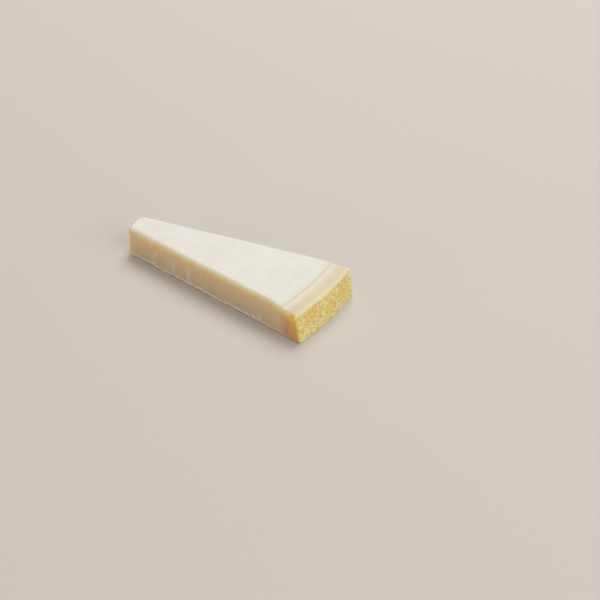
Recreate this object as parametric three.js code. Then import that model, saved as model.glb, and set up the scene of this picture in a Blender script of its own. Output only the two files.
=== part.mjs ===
// A thin wedge of parmesan: two long knife cuts that aim at the wheel's axis, a blunt nose, and at the
// wide end the wheel's own rind, with a drier band of paste under it that has sunk a little. It lies on
// its flat lower face. Millimetres, +Z up, the nose towards -X and the rind towards +X.

import * as THREE from 'three';
import { ImprovedNoise } from 'three/addons/math/ImprovedNoise.js';
import { mergeVertices } from 'three/addons/utils/BufferGeometryUtils.js';

const { clamp, degToRad, lerp, smoothstep } = THREE.MathUtils;

// Driving dimensions. A distance from the wheel's axis is called reach.
const WHEEL_RADIUS = 217;
const SECTOR_ANGLE = degToRad(17.2);
const NOSE_REACH = 56.8;
const THICKNESS = 21.3;
const NOSE_THINNING = 1;
const NEAR_SIDE_THINNING = 1;

// The nose's face slants, with its far end (+Y) farthest out, and its middle stands out a little.
const NOSE_SLANT = 4;
const NOSE_CURVE = 1.2;

// Upright corners.
const NOSE_CORNER_RADII = { near: 1.2, far: 6 };
const RIND_CORNER_RADIUS = 0.9;

// Level edges. Along the top the near one is worn soft, most of all towards the nose. Along the base
// all are crisp.
const NEAR_TOP_EDGE = { atNose: 4, atRind: 2.6 };
const FAR_TOP_EDGE_RADIUS = 1.3;
const END_TOP_EDGE_RADIUS = 1.8;
const BASE_EDGE_RADIUS = 0.5;

// The rind is the wheel's bulging side, so its top edge stands back from its lower edge, which slants:
// its near end is farthest out. The near cut isn't quite upright either: its foot stands out.
const RIND_LEAN = 3.4;
const RIND_BULGE = 0.4;
const RIND_FOOT_SLANT = 0.9;
const NEAR_CUT_LEAN = 1;

// The dry band under the rind: one small step down from the paste, and one slope, deepest at the near
// side. Depths are measured inwards from the rind.
const BAND_STEP = { depth: 16, width: 1.6, drop: 0.2 };
const BAND_SLOPE = { start: 27, end: 8, nearDrop: 2.1, farDrop: 1.3 };

// Unevenness: how high its waves are and how long one wave is.
const TOP_WAVES = { height: 0.25, length: 26 };
const CUT_WAVES = { height: 0.3, length: 17 };
const FOOT_WAVES = { height: 0.35, length: 4.5 };
const FOOT_HEIGHT = 5;
const RIND_LUMPS = { height: 0.35, length: 4 };
const RIND_LUMPS_FADE = 8;

// Grid rows along the length, across and up. EDGE_ROWS of them round off each edge.
const ROWS = { length: 54, across: 24, up: 8 };
const EDGE_ROWS = 4;
const CROWDING_TO_RIND = 1.6;

const HALF_ANGLE = SECTOR_ANGLE / 2;
const noise = new ImprovedNoise();

function waves({ height, length }, { x, y, z }) {
  return height * noise.noise(x / length, y / length, z / length);
}

// A value that changes evenly from the near cut (across = -1) to the far cut (across = 1).
function nearToFar(near, far, across) {
  return lerp(near, far, (across + 1) / 2);
}

// How far a rounded edge falls back, at a distance in from that edge.
function roundedBy(distance, radius) {
  const beyond = clamp(radius - distance, 0, radius);
  return radius - Math.sqrt(radius ** 2 - beyond ** 2);
}

function distanceFromCut(across, reach) {
  return (1 - Math.abs(across)) * HALF_ANGLE * reach;
}

function noseReach(across) {
  const radius = across < 0 ? NOSE_CORNER_RADII.near : NOSE_CORNER_RADII.far;
  const face = NOSE_REACH - (NOSE_SLANT / 2) * across + NOSE_CURVE * across ** 2;
  return face + roundedBy(distanceFromCut(across, NOSE_REACH), radius);
}

function rindReach(across, up) {
  const foot = WHEEL_RADIUS - RIND_FOOT_SLANT * across;
  const side = lerp(foot, WHEEL_RADIUS - RIND_LEAN, up) + RIND_BULGE * Math.sin(Math.PI * up);
  return side - roundedBy(distanceFromCut(across, WHEEL_RADIUS), RIND_CORNER_RADIUS);
}

// Spreads even grid rows so that the outermost ones at both ends follow a rounded edge.
function spread(share, rows, edge, crowding = 1) {
  const edgeShare = EDGE_ROWS / rows;
  const arc = (part) => edge * (1 - Math.cos((part / edgeShare) * (Math.PI / 2)));
  if (share < edgeShare) return arc(share);
  if (share > 1 - edgeShare) return 1 - arc(1 - share);
  const inner = (share - edgeShare) / (1 - 2 * edgeShare);
  return lerp(edge, 1 - edge, 1 - (1 - inner) ** crowding);
}

// The height of a point, between the rounded edge of the base and that of the top.
function heightOf(up, { fromNose, fromRind, fromCut }, cutEdgeRadius) {
  const baseFall = roundedBy(Math.min(fromNose, fromRind, fromCut), BASE_EDGE_RADIUS);
  const endFall = roundedBy(Math.min(fromNose, fromRind), END_TOP_EDGE_RADIUS);
  const topFall = Math.max(endFall, roundedBy(fromCut, cutEdgeRadius));
  return lerp(baseFall, THICKNESS - topFall, up);
}

// Carries a point of the unit box to the evenly cut wedge, as a reach, an angle and a height.
function evenWedge(box) {
  const up = box.z + 0.5;
  const fullLength = WHEEL_RADIUS - NOSE_REACH;
  const endEdge = END_TOP_EDGE_RADIUS / fullLength;
  const along = spread(box.x + 0.5, ROWS.length, endEdge, CROWDING_TO_RIND);
  const width = SECTOR_ANGLE * lerp(NOSE_REACH, WHEEL_RADIUS, along);
  const nearRadius = lerp(NEAR_TOP_EDGE.atNose, NEAR_TOP_EDGE.atRind, along);
  const across = 2 * spread(box.y + 0.5, ROWS.across, nearRadius / width) - 1;
  const nose = noseReach(across);
  const rind = rindReach(across, up);
  const reach = lerp(nose, rind, along);
  const distances = {
    fromNose: reach - nose,
    fromRind: rind - reach,
    fromCut: distanceFromCut(across, reach),
  };
  const cutEdgeRadius = across < 0 ? nearRadius : FAR_TOP_EDGE_RADIUS;
  const height = heightOf(up, distances, cutEdgeRadius);
  return { reach, angle: across * HALF_ANGLE, height, along, across };
}

// How far the dry band under the rind lies below the paste.
function bandDrop(reach, across) {
  const depth = WHEEL_RADIUS - reach;
  const halfStep = BAND_STEP.width / 2;
  const step = 1 - smoothstep(depth, BAND_STEP.depth - halfStep, BAND_STEP.depth + halfStep);
  const slope = 1 - smoothstep(depth, BAND_SLOPE.end, BAND_SLOPE.start);
  const slopeDrop = nearToFar(BAND_SLOPE.nearDrop, BAND_SLOPE.farDrop, across);
  return BAND_STEP.drop * step + slopeDrop * slope;
}

// How much thinner the wedge is towards the nose and towards its near side.
function thinning(along, across) {
  return NOSE_THINNING * (1 - along) + nearToFar(NEAR_SIDE_THINNING, 0, across);
}

// A point of the finished wedge: the even form with what the knife, the drying and the wheel's mould
// left on it. The base stays flat.
function wedgePoint(box) {
  const { reach, angle, height, along, across } = evenWedge(box);
  const point = new THREE.Vector3(reach * Math.cos(angle), reach * Math.sin(angle), height);
  const up = height / THICKNESS;
  const foot = Math.max(0, 1 - height / FOOT_HEIGHT);
  const lean = across < 0 ? NEAR_CUT_LEAN * (1 - up) : 0;
  const cut = lean + waves(CUT_WAVES, point) + foot * waves(FOOT_WAVES, point);
  const lumps = along ** RIND_LUMPS_FADE * waves(RIND_LUMPS, point);
  const sag = bandDrop(reach, across) + thinning(along, across);
  const topWaves = waves(TOP_WAVES, { x: point.x, y: point.y, z: 0 });
  point.x += lumps;
  point.y += across * cut;
  point.z += up * (topWaves - sag);
  return point;
}

// One closed skin: the faces of a finely divided box, carried onto the wedge.
function wedgeGeometry() {
  const box = new THREE.BoxGeometry(1, 1, 1, ROWS.length, ROWS.across, ROWS.up);
  box.deleteAttribute('normal');
  box.deleteAttribute('uv');
  const geometry = mergeVertices(box);
  const vertices = geometry.getAttribute('position');
  for (let i = 0; i < vertices.count; i += 1) {
    const { x, y, z } = wedgePoint(new THREE.Vector3().fromBufferAttribute(vertices, i));
    vertices.setXYZ(i, x, y, z);
  }
  return geometry;
}

// Puts the origin at the middle of the footprint, on the surface that the wedge rests on.
function centreOnBase(geometry) {
  geometry.computeBoundingBox();
  const { min, max } = geometry.boundingBox;
  geometry.translate(-(min.x + max.x) / 2, -(min.y + max.y) / 2, -min.z);
  geometry.computeVertexNormals();
  return geometry;
}

const paste = new THREE.MeshStandardMaterial({ color: 0xe7e4d8, roughness: 0.6, metalness: 0 });
const wedge = new THREE.Mesh(centreOnBase(wedgeGeometry()), paste);
wedge.name = 'parmesan_wedge';

const cheese = new THREE.Group();
cheese.add(wedge);

export default cheese;
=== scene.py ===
"""A thin wedge of parmesan lying on a pale tabletop, seen from above and past its rind."""

import math
import random

import bmesh
import bpy
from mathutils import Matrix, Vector, noise


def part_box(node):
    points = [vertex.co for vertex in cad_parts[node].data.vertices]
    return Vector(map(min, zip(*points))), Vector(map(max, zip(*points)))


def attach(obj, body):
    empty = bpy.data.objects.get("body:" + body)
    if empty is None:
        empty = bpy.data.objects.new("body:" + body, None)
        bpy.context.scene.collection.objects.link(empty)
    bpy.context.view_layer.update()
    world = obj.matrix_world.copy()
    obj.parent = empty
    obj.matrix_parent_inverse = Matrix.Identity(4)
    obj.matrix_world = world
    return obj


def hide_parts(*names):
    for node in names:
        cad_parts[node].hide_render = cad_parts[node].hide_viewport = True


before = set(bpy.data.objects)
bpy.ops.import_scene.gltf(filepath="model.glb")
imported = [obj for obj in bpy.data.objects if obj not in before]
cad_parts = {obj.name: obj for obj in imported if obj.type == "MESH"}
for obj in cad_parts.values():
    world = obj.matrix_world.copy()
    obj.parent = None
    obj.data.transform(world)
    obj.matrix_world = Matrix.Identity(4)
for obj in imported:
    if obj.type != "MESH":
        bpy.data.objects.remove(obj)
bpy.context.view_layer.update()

NODE = "parmesan_wedge"
BODY = "root"
MM = 0.001

# The wheel and the cut, in millimetres. A distance from the wheel's axis is called reach.
WHEEL_RADIUS = 217
HALF_ANGLE = math.radians(17.2) / 2
NOSE_REACH = 56.8
THICKNESS = 21.3
NOSE_THINNING = 1
NEAR_SIDE_THINNING = 1

# The nose's face slants, with its far end farthest out, and its middle stands out a little.
NOSE_SLANT = 4
NOSE_CURVE = 1.2

# Upright corners: the radii of the nose's near and far ones, and that of the rind's.
NOSE_CORNER_RADII = (1.2, 6)
RIND_CORNER_RADIUS = 0.9

# Level edges. Along the top the near one is worn soft, with its radii at the nose and at the rind.
# Along the base all are crisp.
NEAR_TOP_EDGE_RADII = (4, 2.6)
FAR_TOP_EDGE_RADIUS = 1.3
END_TOP_EDGE_RADIUS = 1.8
BASE_EDGE_RADIUS = 0.5

# The rind is the wheel's bulging side. Its foot slants, with its near end farthest out, and the near
# cut's foot stands out a little.
RIND_LEAN = 3.4
RIND_BULGE = 0.4
RIND_FOOT_SLANT = 0.9
NEAR_CUT_LEAN = 1

# The dry band under the rind: a small step down and a slope, which falls most at the near cut. Depths
# are measured inwards from the rind.
STEP_DEPTH, STEP_WIDTH, STEP_DROP = 16, 1.6, 0.2
SLOPE_START, SLOPE_END, SLOPE_DROPS = 27, 8, (2.1, 1.3)

# Unevenness: (height, length) of the waves.
TOP_WAVES = (0.25, 26)
CUT_WAVES = (0.3, 17)
CUT_RIPPLES = (0.12, 3.2)
FOOT_WAVES = (0.35, 4.5)
FOOT_HEIGHT = 5
RIND_LUMPS = (0.35, 4)
RIND_LUMPS_FADE = 8

# How far the cut's colour fades into the top, in radii of the near and of the far rounded edge. This
# carries the cut's painted glow under the top edge onto the rounding.
CUT_COLOUR_FADES = (1.1, 0.5)

# Within this reach of the nose's face the paste is painted a warmer, lighter yellow, and this much at
# most: a painted glow of light shining through the nose's corner.
TIP_PAINTED_GLOW_REACH, TIP_PAINTED_GLOW = 10, 0.7

# The lip of dry crumbs that the knife pushed out along the foot of the cuts, less so near the rind.
LIP_HEIGHT, LIP_REACH, LIP_DEPTH = 1.6, 1.8, 0.35
LIP_FADE_START, LIP_FADE_END, LIP_AT_RIND = 165, 212, 0.25
LIP_WANDER = (0.9, 5)
CRUMBS = (0.9, 1.6)
CRUMBS_AVERAGE = 0.75

# What the knife left on the near cut: faint lines, each as two places (reach, height), half its width
# and its strength, and torn spots (reach, height, radius). The far cut carries them farther along.
KNIFE_DRAGS = (
    ((83.3, 5.6), (89.9, 16.0), 1.0, 0.75),
    ((83.0, 7.2), (84.8, 2.0), 1.2, 0.3),
    ((96.9, 14.5), (97.3, 9.0), 1.3, 0.55),
    ((98.9, 10.5), (99.2, 3.5), 0.8, 0.4),
    ((100.7, 14.1), (101.0, 6.0), 1.2, 0.5),
    ((102.7, 12.5), (103.0, 4.0), 0.8, 0.45),
    ((104.5, 13.5), (104.9, 3.5), 1.7, 0.65),
    ((117.1, 9.5), (117.5, 2.0), 0.8, 0.4),
    ((118.3, 16.0), (119.3, 2.5), 2.0, 0.7),
    ((121.5, 15.5), (122.3, 10.0), 1.1, 0.45),
)
DRAG_HEIGHT = 0.12
DRAG_AT_ENDS = 0.2
TORN_SPOTS = ((85, 3, 2.6), (120, 2.4, 2.4), (178, 2.4, 2.2), (183.5, 4, 3))
TORN_ROUGHNESS = (0.6, 0.9)
FAR_CUT_SHIFT = 38

# The mould's stipple on the rind: rows of small pits, with dry crests between them.
PIT_PITCH = 2
PIT_ROW_PITCH = 1.7
PIT_RADIUS = 0.9
PIT_DEPTH = 0.2
CREST_RADIUS = 0.8
CREST_HEIGHT = 0.12
STIPPLE_JITTER = 0.55
STIPPLE_STRENGTHS = (0.2, 1.35)
PIT_SEED, CREST_SEED = 7, 12

# How much of the stipple has worn off, on average and in its waves.
WEAR_AVERAGE = 0.2
WEAR_WAVES = (0.8, 6)
STIPPLE_NEAR_MARGIN, STIPPLE_FAR_MARGIN = (3.6, 5.0), (5.4, 7.4)
STIPPLE_LEVEL_MARGIN = (1.0, 2.4)

# The height at which the cream rim ends, at the near and at the far end of the rind.
RIM_LEVELS = (17.6, 18.8)

# Patches of the rind, as (distance round the wheel from its middle, height, radius), and for the warm
# ones their strength.
CRUSTED_PATCH = (-17, 6.5, 15)
CRUST, CRUST_ELSEWHERE = 1.2, 0.7
WARM_PATCHES = ((-19, 15, 10, 1), (18, 16, 8, 1), (2, 9, 9, 0.8), (22, 8, 16, 0.45))

# Shallow dimples where small eyes in the paste were cut open: those that show, as (reach, angle in
# degrees, radius), and finer ones.
DIMPLES = ((134, -5, 1.6), (143.5, -6.6, 1.7), (148.5, -4.2, 1.3), (182, 4.8, 1.5), (192, 0.7, 1.7))
FINE_DIMPLE_COUNT = 14
FINE_DIMPLE_RADII = (0.8, 1.5)
DIMPLE_DEPTH = 0.14
DIMPLE_SEED = 3

# Rows along the length, across and up. EDGE_ROWS of them round off each edge.
ROWS = (256, 148, 52)
EDGE_ROWS = 7
CROWDING_TO_RIND = 1.2

# A point of the unit box that is at least this far out along an axis lies on that face.
ON_FACE = 0.4999


# ---------------------------------------------------------------- form

def mix(a, b, share):
    return a + (b - a) * share


def smooth(value, low, high):
    share = min(1, max(0, (value - low) / (high - low)))
    return share * share * (3 - 2 * share)


def mound(off):
    """A soft round heap: 1 in its middle, 0 from off = 1 outwards."""
    return max(0, 1 - off * off) ** 2


def near_to_far(pair, across):
    """A value that changes evenly from the near cut (across = -1) to the far cut (across = 1)."""
    return mix(*pair, (across + 1) / 2)


def waves(height_and_length, point):
    height, length = height_and_length
    return height * noise.noise(point / length)


def fading(share):
    """1 at 0, falling ever more slowly to 0 at 1."""
    return max(0, 1 - share) ** 2


def rounded_by(distance, radius):
    """How far a rounded edge falls back, at a distance in from that edge."""
    beyond = min(radius, max(0, radius - distance))
    return radius - math.sqrt(radius**2 - beyond**2)


def distance_from_cut(across, reach):
    return (1 - abs(across)) * HALF_ANGLE * reach


def nose_reach(across):
    radius = NOSE_CORNER_RADII[across > 0]
    face = NOSE_REACH - NOSE_SLANT / 2 * across + NOSE_CURVE * across**2
    return face + rounded_by(distance_from_cut(across, NOSE_REACH), radius)


def rind_reach(across, up):
    foot = WHEEL_RADIUS - RIND_FOOT_SLANT * across
    side = mix(foot, WHEEL_RADIUS - RIND_LEAN, up) + RIND_BULGE * math.sin(math.pi * up)
    return side - rounded_by(distance_from_cut(across, WHEEL_RADIUS), RIND_CORNER_RADIUS)


def spread(share, rows, edge, crowding=1):
    """Spreads even rows so that the outermost ones at both ends follow a rounded edge."""
    edge_share = EDGE_ROWS / rows
    from_end = min(share, 1 - share)
    if from_end < edge_share:
        arc = edge * (1 - math.cos(from_end / edge_share * math.pi / 2))
        return arc if share < 0.5 else 1 - arc
    inner = (share - edge_share) / (1 - 2 * edge_share)
    return mix(edge, 1 - edge, 1 - (1 - inner) ** crowding)


def height_of(up, from_ends, from_cut, cut_edge_radius):
    """The height of a point, between the rounded edge of the base and that of the top."""
    base_fall = rounded_by(min(from_ends, from_cut), BASE_EDGE_RADIUS)
    end_fall = rounded_by(from_ends, END_TOP_EDGE_RADIUS)
    top_fall = max(end_fall, rounded_by(from_cut, cut_edge_radius))
    return mix(base_fall, THICKNESS - top_fall, up)


def band_drop(reach, across):
    """How far the dry band under the rind lies below the paste."""
    depth = WHEEL_RADIUS - reach
    step = 1 - smooth(depth, STEP_DEPTH - STEP_WIDTH / 2, STEP_DEPTH + STEP_WIDTH / 2)
    slope = 1 - smooth(depth, SLOPE_END, SLOPE_START)
    return STEP_DROP * step + near_to_far(SLOPE_DROPS, across) * slope


def thinning(along, across):
    """How much thinner the wedge is towards the nose and towards its near side."""
    return NOSE_THINNING * (1 - along) + near_to_far((NEAR_SIDE_THINNING, 0), across)


# ---------------------------------------------------------------- marks

def drag_strength(reach, height):
    """How much of a pale line of the knife lies at a place of a cut, from 0 to 1."""
    strongest = 0
    for start, end, width, strength in KNIFE_DRAGS:
        line = Vector(end) - Vector(start)
        offset = Vector((reach, height)) - Vector(start)
        share = offset.dot(line) / line.length_squared
        if 0 < share < 1:
            aside = abs(offset.cross(line)) / line.length
            fade = min(1, 4 * share * (1 - share) + DRAG_AT_ENDS)
            strongest = max(strongest, strength * fade * mound(aside / width))
    return strongest


def torn_strength(reach, height):
    return max(mound(math.dist((reach, height), spot[:2]) / spot[2]) for spot in TORN_SPOTS)


def lip_strength(point, reach):
    wander = waves(LIP_WANDER, Vector((point.x, point.y, 0)))
    most = mix(1, LIP_AT_RIND, smooth(reach, LIP_FADE_START, LIP_FADE_END))
    return most * mound((point.z - LIP_HEIGHT - wander) / LIP_REACH)


def knife_marks(point, reach, across):
    """How far the marks on a cut stand out of it, and how pale they are there."""
    mark_reach = reach if across < 0 else reach - FAR_CUT_SHIFT
    drag = drag_strength(mark_reach, point.z)
    torn = torn_strength(mark_reach, point.z)
    crumbs = max(0, CRUMBS_AVERAGE + waves(CRUMBS, point))
    lip = lip_strength(point, reach) * crumbs
    relief = DRAG_HEIGHT * drag + torn * waves(TORN_ROUGHNESS, point) + LIP_DEPTH * lip
    return relief, min(1, drag * crumbs + torn * crumbs + lip)


def stipple_draws(seed):
    """For each place of the stipple's grid: its shift sideways and up, and its strength."""
    draw = random.Random(seed)
    rows = range(-1, round(THICKNESS / PIT_ROW_PITCH) + 3)
    reach = round(HALF_ANGLE * WHEEL_RADIUS / PIT_PITCH) + 3
    return {
        (row, column): (
            draw.uniform(-STIPPLE_JITTER, STIPPLE_JITTER),
            draw.uniform(-STIPPLE_JITTER, STIPPLE_JITTER),
            draw.uniform(*STIPPLE_STRENGTHS),
        )
        for row in rows
        for column in range(-reach, reach + 1)
    }


def stipple_strength(arc, height, draws, radius, offset):
    """How deep in a dot of the stipple a point of the rind lies, from 0 to 1."""
    row = round(height / PIT_ROW_PITCH)
    strongest = 0
    for dot_row in (row - 1, row, row + 1):
        shift = 0.5 * (dot_row % 2) + offset
        column = round(arc / PIT_PITCH - shift)
        for dot_column in (column - 1, column, column + 1):
            sideways, upwards, strength = draws[dot_row, dot_column]
            across = arc - (dot_column + shift) * PIT_PITCH - sideways
            along = height - dot_row * PIT_ROW_PITCH - upwards
            strongest = max(strongest, strength * mound(math.hypot(across, along) / radius))
    return strongest


def stipple_presence(arc, height):
    """1 where the mould marked the rind, 0 along its smooth edges, less where it has worn off."""
    half_arc = HALF_ANGLE * WHEEL_RADIUS
    near = smooth(half_arc + arc, *STIPPLE_NEAR_MARGIN)
    far = smooth(half_arc - arc, *STIPPLE_FAR_MARGIN)
    level = smooth(min(height, THICKNESS - height), *STIPPLE_LEVEL_MARGIN)
    wear = max(0, WEAR_AVERAGE + waves(WEAR_WAVES, Vector((arc, height, 0))))
    return near * far * level * max(0, 1 - wear)


def patch_strength(arc, height, middle_arc, middle_height, radius, strength=1):
    return strength * mound(math.hypot(arc - middle_arc, height - middle_height) / radius)


def rind_marks(arc, height, pit_places, crest_places):
    """What the mould and the drying left at a place of the rind."""
    presence = stipple_presence(arc, height)
    pit = presence * stipple_strength(arc, height, pit_places, PIT_RADIUS, 0)
    crest = presence * stipple_strength(arc, height, crest_places, CREST_RADIUS, 0.5)
    crest *= mix(CRUST_ELSEWHERE, CRUST, patch_strength(arc, height, *CRUSTED_PATCH))
    warm = presence * max(patch_strength(arc, height, *patch) for patch in WARM_PATCHES)
    rim = height - near_to_far(RIM_LEVELS, arc / (HALF_ANGLE * WHEEL_RADIUS))
    return {"pit": pit, "crest": min(1, crest), "warm": warm, "rim": rim}


def dimple_places():
    """(x, y, radius) of each dimple on the upper face."""
    draw = random.Random(DIMPLE_SEED)
    fine = [
        (
            draw.uniform(NOSE_REACH + 10, WHEEL_RADIUS - STEP_DEPTH - 4),
            draw.uniform(-7.5, 7.5),
            draw.uniform(*FINE_DIMPLE_RADII),
        )
        for _ in range(FINE_DIMPLE_COUNT)
    ]
    return [
        (reach * math.cos(math.radians(angle)), reach * math.sin(math.radians(angle)), radius)
        for reach, angle, radius in (*DIMPLES, *fine)
    ]


def dimple_drop(point, dimples):
    return sum(
        DIMPLE_DEPTH * radius * mound(math.hypot(point.x - x, point.y - y) / radius)
        for x, y, radius in dimples
    )


# ---------------------------------------------------------------- wedge

FACTS = ("depth", "level", "cut", "tip_painted_glow", "scuff", "dimple", "pit", "crest", "warm", "rim")


def wedge_point(corner, pit_places, crest_places, dimples):
    """Carries a point of the unit box to the finished wedge, and says what its surface is there."""
    share, across_share, up = (round(value + 0.5, 5) for value in corner)
    full_length = WHEEL_RADIUS - NOSE_REACH
    along = spread(share, ROWS[0], END_TOP_EDGE_RADIUS / full_length, CROWDING_TO_RIND)
    width = 2 * HALF_ANGLE * mix(NOSE_REACH, WHEEL_RADIUS, along)
    near_radius = mix(*NEAR_TOP_EDGE_RADII, along)
    across = 2 * spread(across_share, ROWS[1], near_radius / width) - 1
    nose, rind = nose_reach(across), rind_reach(across, up)
    reach = mix(nose, rind, along)
    from_cut = distance_from_cut(across, reach)
    edge_radius = near_radius if across < 0 else FAR_TOP_EDGE_RADIUS
    height = height_of(up, min(reach - nose, rind - reach), from_cut, edge_radius)
    angle = across * HALF_ANGLE
    point = Vector((reach * math.cos(angle), reach * math.sin(angle), height))

    facts = dict.fromkeys(FACTS, 0)
    facts |= {"depth": rind - reach, "level": height}
    # Painted glow: the paste near the nose's face is tinted a warmer yellow for the light that shines
    # through its corner.
    facts["tip_painted_glow"] = TIP_PAINTED_GLOW * fading((reach - nose) / TIP_PAINTED_GLOW_REACH)
    if up in (0, 1):
        from_side = fading(from_cut / edge_radius / CUT_COLOUR_FADES[across > 0])
        from_nose = fading((reach - nose) / END_TOP_EDGE_RADIUS / CUT_COLOUR_FADES[0])
        facts["cut"] = max(from_side, from_nose)
    else:
        facts["cut"] = 1
    facts["dimple"] = dimple_drop(point, dimples) if up == 1 else 0
    if across_share in (0, 1):
        relief, facts["scuff"] = knife_marks(point, reach, across)
    else:
        relief = 0
    lumps = waves(RIND_LUMPS, point)
    if share == 1:
        facts |= rind_marks(angle * WHEEL_RADIUS, height, pit_places, crest_places)
        lumps += CREST_HEIGHT * facts["crest"] - PIT_DEPTH * facts["pit"]

    foot = max(0, 1 - height / FOOT_HEIGHT)
    lean = NEAR_CUT_LEAN * (1 - height / THICKNESS) if across < 0 else 0
    unevenness = waves(CUT_WAVES, point) + waves(CUT_RIPPLES, point) + foot * waves(FOOT_WAVES, point)
    cut = relief + lean + unevenness
    sag = band_drop(reach, across) + thinning(along, across) + facts["dimple"]
    top_waves = waves(TOP_WAVES, Vector((point.x, point.y, 0)))
    raised = height / THICKNESS * (top_waves - sag)
    return point + Vector((along**RIND_LUMPS_FADE * lumps, across * cut, raised)), facts


def divided_box(rows):
    """A unit box whose faces are cut into even rows along each axis, but for the inside of its base,
    which stays one flat face."""
    mesh = bmesh.new()
    bmesh.ops.create_cube(mesh, size=1)
    for axis, count in enumerate(rows):
        running = [e for e in mesh.edges if abs(e.verts[0].co[axis] - e.verts[1].co[axis]) > 0.5]
        bmesh.ops.subdivide_edges(mesh, edges=running, cuts=count - 1, use_grid_fill=True)
    inner_x, inner_y = (0.5 - EDGE_ROWS / count for count in rows[:2])
    base = [
        face
        for face in mesh.faces
        if all(v.co.z < -ON_FACE for v in face.verts)
        and abs(face.calc_center_median().x) < inner_x
        and abs(face.calc_center_median().y) < inner_y
    ]
    bmesh.ops.dissolve_faces(mesh, faces=base, use_verts=True)
    return mesh


def centre_between(mesh, low, high):
    """Moves the mesh level, until its middle is that of the box from low to high."""
    for axis in (0, 1):
        places = [vertex.co[axis] for vertex in mesh.verts]
        to_middle = Vector((0, 0, 0))
        to_middle[axis] = (low[axis] + high[axis] - min(places) - max(places)) / 2
        bmesh.ops.translate(mesh, verts=mesh.verts, vec=to_middle)


def make_wedge(box_low, box_high, materials):
    """The cheese as one closed skin, with the facts that its materials read on its points."""
    mesh = divided_box(ROWS)
    rind_faces = [f for f in mesh.faces if all(v.co.x > ON_FACE for v in f.verts)]
    for face in mesh.faces:
        face.smooth = True
    for face in rind_faces:
        face.material_index = 1
    layers = {name: mesh.verts.layers.float.new(name) for name in FACTS}
    marks = stipple_draws(PIT_SEED), stipple_draws(CREST_SEED), dimple_places()
    for vertex in mesh.verts:
        point, facts = wedge_point(vertex.co, *marks)
        vertex.co = point * MM
        for name, layer in layers.items():
            vertex[layer] = facts[name]
    centre_between(mesh, box_low, box_high)
    bmesh.ops.recalc_face_normals(mesh, faces=mesh.faces)
    data = bpy.data.meshes.new("cheese_wedge")
    mesh.to_mesh(data)
    mesh.free()
    for material in materials:
        data.materials.append(material)
    wedge = bpy.data.objects.new("cheese_wedge", data)
    bpy.context.scene.collection.objects.link(wedge)
    return wedge


# ---------------------------------------------------------------- finishes

MIX_SHARE, MIX_UNDER, MIX_OVER, MIX_RESULT = 0, 6, 7, 2


def colour(code):
    """An sRGB hex value as linear light."""
    parts = [int(code[i : i + 2], 16) / 255 for i in (1, 3, 5)]
    return [p / 12.92 if p <= 0.04045 else ((p + 0.055) / 1.055) ** 2.4 for p in parts] + [1]


def add(tree, kind, inputs=None, stops=None, **settings):
    """Adds a node with its settings and its inputs, each a value or another node's output."""
    made = tree.nodes.new(kind)
    for name, value in settings.items():
        setattr(made, name, value)
    for socket, value in (inputs or {}).items():
        if isinstance(value, bpy.types.NodeSocket):
            tree.links.new(value, made.inputs[socket])
        else:
            made.inputs[socket].default_value = value
    if stops:
        ramp = made.color_ramp
        while len(ramp.elements) < len(stops):
            ramp.elements.new(0.5)
        for element, (place, code) in zip(ramp.elements, stops):
            element.position = place
            element.color = colour(code)
    return made


def new_material(name):
    material = bpy.data.materials.new(name)
    material.use_nodes = True
    material.node_tree.nodes.clear()
    return material, material.node_tree


# How far light of each colour travels in the paste, in millimetres: its edges glow yellow. The drier
# top lets less of it in than the cuts do.
PASTE_SCATTER = (4.5, 3.6, 1.1)
SCATTER_TOP, SCATTER_CUT = 0.4, 1.0

# Depth below the rind, in millimetres, over which the colour ramps run.
RAMP_DEPTH = 32

# Upper face, by depth below the rind: cream rim, peach band, pale stripe, and a darker, yellowish line
# at the step, partly its own tone and partly painted shade of the small step.
TOP_COLOURS = (
    (0.0, "#f0e5bd"),
    (0.9, "#e4d9b7"),
    (1.9, "#e1d6bb"),
    (3.2, "#e1ceaa"),
    (5.6, "#e0cfad"),
    (8.2, "#e2d4b7"),
    (10.6, "#e6dfcd"),
    (11.8, "#e2dbc7"),
    (12.8, "#dacfb6"),
    (14.2, "#e3ddcd"),
    (16.6, "#e5e2d8"),
    (23.6, "#e7e5dd"),
    (32.0, "#eae8df"),
)

# Cuts, by height: the paste's own straw tone, painted darker and pinker towards the foot as painted
# shade near the ground, and yellower under the top edge as a painted glow of light shining through
# that edge.
CUT_COLOURS = (
    (0.0, "#d6c9ac"),
    (5.0, "#d8c4a5"),
    (12.0, "#e2caa9"),
    (16.5, "#ebd1a4"),
    (20.0, "#f2e1a8"),
)

# Cuts in the dry band under the rind, by height: light brown, and amber next to the rind. They are the
# band's own drier tone, painted more orange than the band on the top for the shade of the cuts and the
# glow of light scattered in from the rind, darker towards the foot as painted shade and yellower under
# the top edge as painted glow. Each has the two depths where it is dense and where it is gone.
BROWN_COLOURS = (
    (0.0, "#d4a887"),
    (4.5, "#d7ac88"),
    (8.0, "#dab085"),
    (11.8, "#e0b386"),
    (14.2, "#e3b586"),
    (16.6, "#ecc18d"),
    (18.9, "#f1d894"),
    (20.7, "#f9e799"),
)
BROWN_DEPTHS = (8.5, 15.5)
AMBER_COLOURS = (
    (0.0, "#dfad68"),
    (6.0, "#eab964"),
    (10.0, "#edbc61"),
    (13.5, "#edbc60"),
    (16.5, "#f4d565"),
    (19.0, "#f4d25a"),
)
AMBER_DEPTHS = (2.2, 7)

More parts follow.
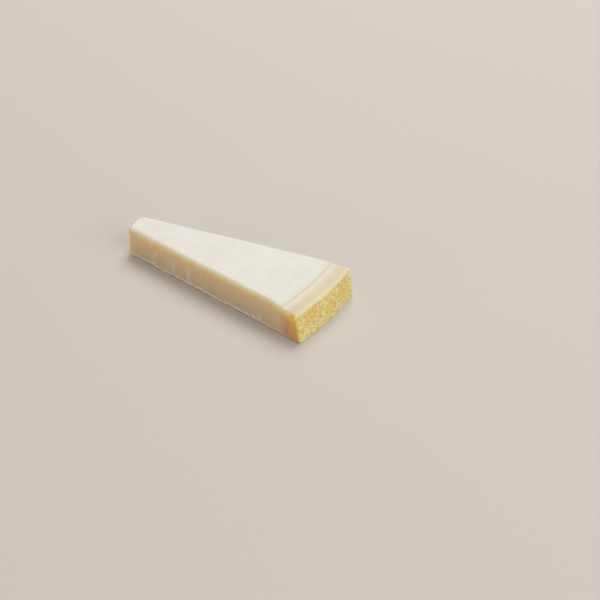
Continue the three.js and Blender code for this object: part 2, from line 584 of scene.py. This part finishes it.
# The bloom's clouds on top, the streaks on the cuts, and what tints the scuffs, the dimples, darker as
# painted shade in their hollows, and the nose, warmer as a painted glow.
CLOUD_SIZE, BLOOM_STOPS = 11, ((0.35, "#ffffff"), (0.65, "#fcfaf7"))
STREAK_SIZE, STREAK_SQUEEZE, STREAK_STOPS = 2.5, 0.5, ((0.35, "#fbf9f7"), (0.6, "#ffffff"))
DIMPLE_SHADE_COLOUR, TIP_PAINTED_GLOW_COLOUR, SCUFF_COLOUR = "#e0d6c2", "#f3d39a", "#f0ebe6"

# Rind: mottled straw, over it the warm patches, the pits, tan and darker with their depth, partly as
# painted shade, and the crests, pale, partly as painted highlight, then the cream rim and the pale
# foot.
MOTTLE_SIZE, STRAW_STOPS = 2.2, ((0.35, "#f0e3a1"), (0.65, "#d9c055"))
RIND_LAYERS = (("warm", "#e6b950"), ("pit", "#dc9626"), ("crest", "#fff8e0"))
RIM_COLOUR, FOOT_COLOUR, FOOT_SHARE = "#f3e6b4", "#f3e8c6", 0.5

# The edges of the rim and of the foot wander. Each has how far, and where it starts and ends.
WANDER_SIZE = 2.5
RIM_EDGE, FOOT_EDGE = (6, 3.2, 6), (3, 1.6, 2.8)

# The surfaces' own fine grain, in millimetres: its size and its depth.
PASTE_GRAIN, RIND_GRAIN = (0.8, 0.2), (0.5, 0.25)


def paste_material():
    """Hard paste, knife-cut: ivory with a dry bloom on top, and on the cut sides warmer, partly the
    paste's own straw tone and partly painted warm shade, with painted shade towards the foot and a
    painted glow under the top edge. A drier band under the rind goes peach on top and amber at the
    sides, where it is partly painted shade and glow."""
    material, tree = new_material("parmesan_paste")
    place = add(tree, "ShaderNodeTexCoord").outputs["Object"]
    fact = {
        name: add(tree, "ShaderNodeAttribute", attribute_name=name).outputs["Fac"]
        for name in ("depth", "level", "cut", "tip_painted_glow", "scuff", "dimple")
    }

    depth_share = add(
        tree, "ShaderNodeMath", {0: fact["depth"], 1: RAMP_DEPTH}, operation="DIVIDE"
    ).outputs[0]
    top = add(
        tree,
        "ShaderNodeValToRGB",
        {0: depth_share},
        stops=[(depth / RAMP_DEPTH, code) for depth, code in TOP_COLOURS],
    ).outputs[0]
    # Soft clouds in the bloom, about a finger wide.
    clouds = add(
        tree, "ShaderNodeTexNoise", {"Vector": place, "Scale": 1 / (CLOUD_SIZE * MM), "Detail": 3}
    ).outputs["Fac"]
    bloom = add(tree, "ShaderNodeValToRGB", {0: clouds}, stops=BLOOM_STOPS).outputs[0]
    bloomed = add(
        tree,
        "ShaderNodeMix",
        {MIX_SHARE: 1.0, MIX_UNDER: top, MIX_OVER: bloom},
        data_type="RGBA",
        blend_type="MULTIPLY",
    ).outputs[MIX_RESULT]
    # Painted shade: dimples are tinted darker the deeper they are.
    dimpled = add(
        tree,
        "ShaderNodeMix",
        {MIX_SHARE: fact["dimple"], MIX_UNDER: bloomed, MIX_OVER: colour(DIMPLE_SHADE_COLOUR)},
        data_type="RGBA",
    ).outputs[MIX_RESULT]

    level_share = add(
        tree, "ShaderNodeMath", {0: fact["level"], 1: THICKNESS}, operation="DIVIDE"
    ).outputs[0]
    side, brown, amber = (
        add(
            tree,
            "ShaderNodeValToRGB",
            {0: level_share},
            stops=[(level / THICKNESS, code) for level, code in colours],
        ).outputs[0]
        for colours in (CUT_COLOURS, BROWN_COLOURS, AMBER_COLOURS)
    )
    for dry, (dense, gone) in ((brown, BROWN_DEPTHS), (amber, AMBER_DEPTHS)):
        share = add(
            tree,
            "ShaderNodeMapRange",
            {"Value": fact["depth"], "From Min": dense, "From Max": gone, "To Min": 1, "To Max": 0},
            interpolation_type="SMOOTHSTEP",
        ).outputs[0]
        side = add(
            tree,
            "ShaderNodeMix",
            {MIX_SHARE: share, MIX_UNDER: side, MIX_OVER: dry},
            data_type="RGBA",
        ).outputs[MIX_RESULT]
    # Painted glow near the nose: a warmer yellow for the light that shines through the nose's corner.
    side = add(
        tree,
        "ShaderNodeMix",
        {MIX_SHARE: fact["tip_painted_glow"], MIX_UNDER: side, MIX_OVER: colour(TIP_PAINTED_GLOW_COLOUR)},
        data_type="RGBA",
    ).outputs[MIX_RESULT]
    # Faint upright streaks that the knife drew down through the paste.
    drawn_out = add(
        tree, "ShaderNodeMapping", {"Vector": place, "Scale": (1, 1, STREAK_SQUEEZE)}
    ).outputs[0]
    streaks = add(
        tree,
        "ShaderNodeTexNoise",
        {"Vector": drawn_out, "Scale": 1 / (STREAK_SIZE * MM), "Detail": 3},
    ).outputs["Fac"]
    streak = add(tree, "ShaderNodeValToRGB", {0: streaks}, stops=STREAK_STOPS).outputs[0]
    streaked = add(
        tree,
        "ShaderNodeMix",
        {MIX_SHARE: 1.0, MIX_UNDER: side, MIX_OVER: streak},
        data_type="RGBA",
        blend_type="MULTIPLY",
    ).outputs[MIX_RESULT]
    scuffed = add(
        tree,
        "ShaderNodeMix",
        {MIX_SHARE: fact["scuff"], MIX_UNDER: streaked, MIX_OVER: colour(SCUFF_COLOUR)},
        data_type="RGBA",
    ).outputs[MIX_RESULT]
    skin = add(
        tree,
        "ShaderNodeMix",
        {MIX_SHARE: fact["cut"], MIX_UNDER: dimpled, MIX_OVER: scuffed},
        data_type="RGBA",
    ).outputs[MIX_RESULT]

    scatter = add(
        tree,
        "ShaderNodeMapRange",
        {"Value": fact["cut"], "To Min": SCATTER_TOP, "To Max": SCATTER_CUT},
    ).outputs[0]

    grain_size, grain_depth = PASTE_GRAIN
    grain = add(
        tree, "ShaderNodeTexNoise", {"Vector": place, "Scale": 1 / (grain_size * MM), "Detail": 4}
    ).outputs["Fac"]
    bump = add(
        tree, "ShaderNodeBump", {"Height": grain, "Strength": 0.15, "Distance": grain_depth * MM}
    )
    shader = add(
        tree,
        "ShaderNodeBsdfPrincipled",
        {
            "Base Color": skin,
            "Normal": bump.outputs[0],
            "Roughness": 0.55,
            "IOR": 1.45,
            "Subsurface Weight": scatter,
            "Subsurface Radius": PASTE_SCATTER,
            "Subsurface Scale": MM,
        },
    )
    add(tree, "ShaderNodeOutputMaterial", {"Surface": shader.outputs[0]})
    return material


def rind_material():
    """Natural rind: dry, straw yellow, with the mould's pits tan and darker, partly painted shade in
    the pits, and the crests between them pale, partly painted highlight on the crests.
    It goes over into a cream rim at the top and a pale line along the foot."""
    material, tree = new_material("parmesan_rind")
    place = add(tree, "ShaderNodeTexCoord").outputs["Object"]
    fact = {
        name: add(tree, "ShaderNodeAttribute", attribute_name=name).outputs["Fac"]
        for name in ("level", "pit", "crest", "warm", "rim")
    }

    mottle = add(
        tree, "ShaderNodeTexNoise", {"Vector": place, "Scale": 1 / (MOTTLE_SIZE * MM), "Detail": 3}
    ).outputs["Fac"]
    dotted = add(tree, "ShaderNodeValToRGB", {0: mottle}, stops=STRAW_STOPS).outputs[0]
    # The pits' darker tan and the crests' pale colour are partly the stipple's own tones and partly
    # painted shade in the pits and painted highlight on the crests.
    for name, code in RIND_LAYERS:
        dotted = add(
            tree,
            "ShaderNodeMix",
            {MIX_SHARE: fact[name], MIX_UNDER: dotted, MIX_OVER: colour(code)},
            data_type="RGBA",
        ).outputs[MIX_RESULT]

    wander = add(
        tree, "ShaderNodeTexNoise", {"Vector": place, "Scale": 1 / (WANDER_SIZE * MM), "Detail": 2}
    ).outputs["Fac"]
    rim_wander, rim_start, rim_end = RIM_EDGE
    foot_wander, foot_start, foot_end = FOOT_EDGE
    uneven_rim, uneven_level = (
        add(
            tree, "ShaderNodeMath", {0: wander, 1: amount, 2: fact[name]}, operation="MULTIPLY_ADD"
        ).outputs[0]
        for name, amount in (("rim", rim_wander), ("level", foot_wander))
    )
    rim_share = add(
        tree,
        "ShaderNodeMapRange",
        {"Value": uneven_rim, "From Min": rim_start, "From Max": rim_end},
        interpolation_type="SMOOTHSTEP",
    ).outputs[0]
    rimmed = add(
        tree,
        "ShaderNodeMix",
        {MIX_SHARE: rim_share, MIX_UNDER: dotted, MIX_OVER: colour(RIM_COLOUR)},
        data_type="RGBA",
    ).outputs[MIX_RESULT]
    foot_range = {
        "Value": uneven_level,
        "From Min": foot_start,
        "From Max": foot_end,
        "To Min": FOOT_SHARE,
        "To Max": 0,
    }
    foot_share = add(tree, "ShaderNodeMapRange", foot_range).outputs[0]
    skin = add(
        tree,
        "ShaderNodeMix",
        {MIX_SHARE: foot_share, MIX_UNDER: rimmed, MIX_OVER: colour(FOOT_COLOUR)},
        data_type="RGBA",
    ).outputs[MIX_RESULT]

    grain_size, grain_depth = RIND_GRAIN
    grain = add(
        tree, "ShaderNodeTexNoise", {"Vector": place, "Scale": 1 / (grain_size * MM), "Detail": 4}
    ).outputs["Fac"]
    bump = add(
        tree, "ShaderNodeBump", {"Height": grain, "Strength": 0.25, "Distance": grain_depth * MM}
    )
    shader = add(
        tree,
        "ShaderNodeBsdfPrincipled",
        {
            "Base Color": skin,
            "Normal": bump.outputs[0],
            "Roughness": 0.6,
            "IOR": 1.45,
            "Subsurface Weight": 0.5,
            "Subsurface Radius": PASTE_SCATTER,
            "Subsurface Scale": 0.3 * MM,
        },
    )
    add(tree, "ShaderNodeOutputMaterial", {"Surface": shader.outputs[0]})
    return material


def tabletop_material():
    """Matt paint, rolled on: pale and plain, so that the cheese stands out."""
    material, tree = new_material("painted_tabletop")
    shader = add(
        tree, "ShaderNodeBsdfPrincipled", {"Base Color": colour("#d3cdc4"), "Roughness": 0.8}
    )
    add(tree, "ShaderNodeOutputMaterial", {"Surface": shader.outputs[0]})
    return material


# ---------------------------------------------------------------- studio

# The camera: where it stands, which way it looks, and its lens. Azimuth 0 looks along +Y.
CAMERA_AZIMUTH = math.radians(33.5)
CAMERA_ELEVATION = math.radians(34)
CAMERA_PLACE = Vector((424.5, -555.0, 455.1)) * MM
CAMERA_LENS = 75
TABLE_SIZE = 8

# Softboxes: name, place and size in metres, power in watts, and colour. The key stands behind the
# cheese at its left, the second one faces the rind, and a small warm one fills the near cut.
SOFTBOXES = (
    ("key_softbox", (-0.9, 2.25, 3.0), 2.4, 100, "#ffffff"),
    ("rind_softbox", (2.4, -0.3, 1.2), 2.4, 37, "#ffffff"),
    ("fill_softbox", (-0.9, -2.1, 0.5), 0.9, 8, "#ffd9b0"),
)
ROOM_LIGHT = 0.27


def make_tabletop():
    mesh = bmesh.new()
    bmesh.ops.create_grid(mesh, x_segments=1, y_segments=1, size=TABLE_SIZE / 2)
    data = bpy.data.meshes.new("tabletop")
    mesh.to_mesh(data)
    mesh.free()
    data.materials.append(tabletop_material())
    tabletop = bpy.data.objects.new("tabletop", data)
    bpy.context.scene.collection.objects.link(tabletop)


def make_camera():
    data = bpy.data.cameras.new("camera")
    data.lens = CAMERA_LENS
    camera = bpy.data.objects.new("camera", data)
    camera.location = CAMERA_PLACE
    camera.rotation_euler = (math.pi / 2 - CAMERA_ELEVATION, 0, CAMERA_AZIMUTH)
    bpy.context.scene.collection.objects.link(camera)
    bpy.context.scene.camera = camera


def make_softbox(name, place, size, power, code):
    """A square area light that faces the cheese."""
    data = bpy.data.lights.new(name, "AREA")
    data.size = size
    data.energy = power
    data.color = colour(code)[:3]
    light = bpy.data.objects.new(name, data)
    light.location = place
    light.rotation_euler = (-Vector(place)).to_track_quat("-Z", "Y").to_euler()
    bpy.context.scene.collection.objects.link(light)


def make_studio():
    for softbox in SOFTBOXES:
        make_softbox(*softbox)
    world = bpy.data.worlds.new("studio")
    world.use_nodes = True
    backdrop = world.node_tree.nodes["Background"]
    backdrop.inputs["Color"].default_value = colour("#ffffff")
    backdrop.inputs["Strength"].default_value = ROOM_LIGHT
    bpy.context.scene.world = world
    bpy.context.scene.view_settings.view_transform = "Standard"


make_tabletop()
make_camera()
make_studio()
wedge = make_wedge(*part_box(NODE), [paste_material(), rind_material()])
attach(wedge, BODY)
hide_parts(NODE)
